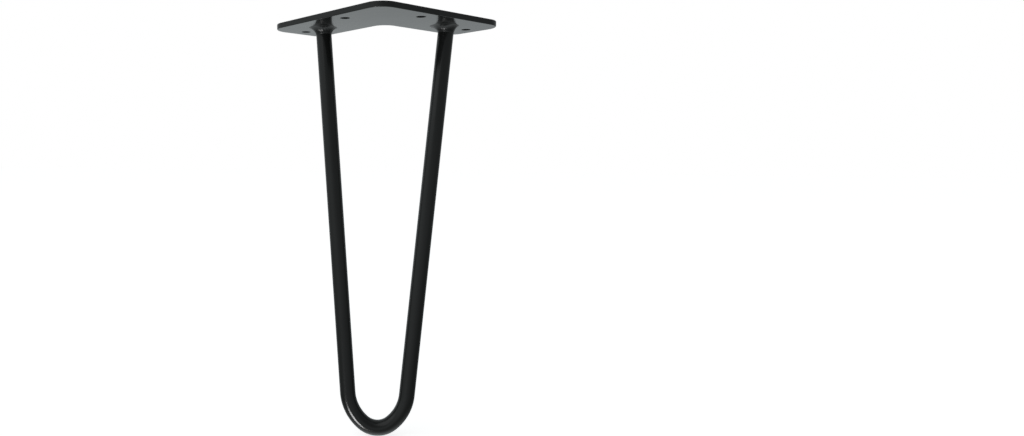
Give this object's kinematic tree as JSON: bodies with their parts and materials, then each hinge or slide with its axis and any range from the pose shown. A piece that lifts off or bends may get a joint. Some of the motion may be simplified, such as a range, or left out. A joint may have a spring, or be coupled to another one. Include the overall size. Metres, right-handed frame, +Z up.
{
  "type": "hairpin table leg",
  "caption": "Short hairpin leg for a table or bench: a bent round bar welded under an L-shaped corner plate that screws to the underside of the top.",
  "frame": {"origin": "midway between the two inner screw holes, on the plate's top face, which lies against the underside of the table", "axes": "+Z up into the table top, with the leg hanging down; +X across the leg from one arm of the L to the other; -Y towards the corner of the L, which is the way that the foot splays"},
  "size_m": [0.1734, 0.1218, 0.323],
  "materials": {
    "plate_coat": "black powder coat, semi-gloss",
    "bar_coat": "black powder coat, semi-gloss",
    "weld_coat": "black powder coat over an as-welded fillet"
  },
  "bodies": {
    "root": {"mounting_plate": "plate_coat", "hairpin_rod": "bar_coat", "weld_bead_left": "weld_coat", "weld_bead_right": "weld_coat"}
  },
  "joints": []
}
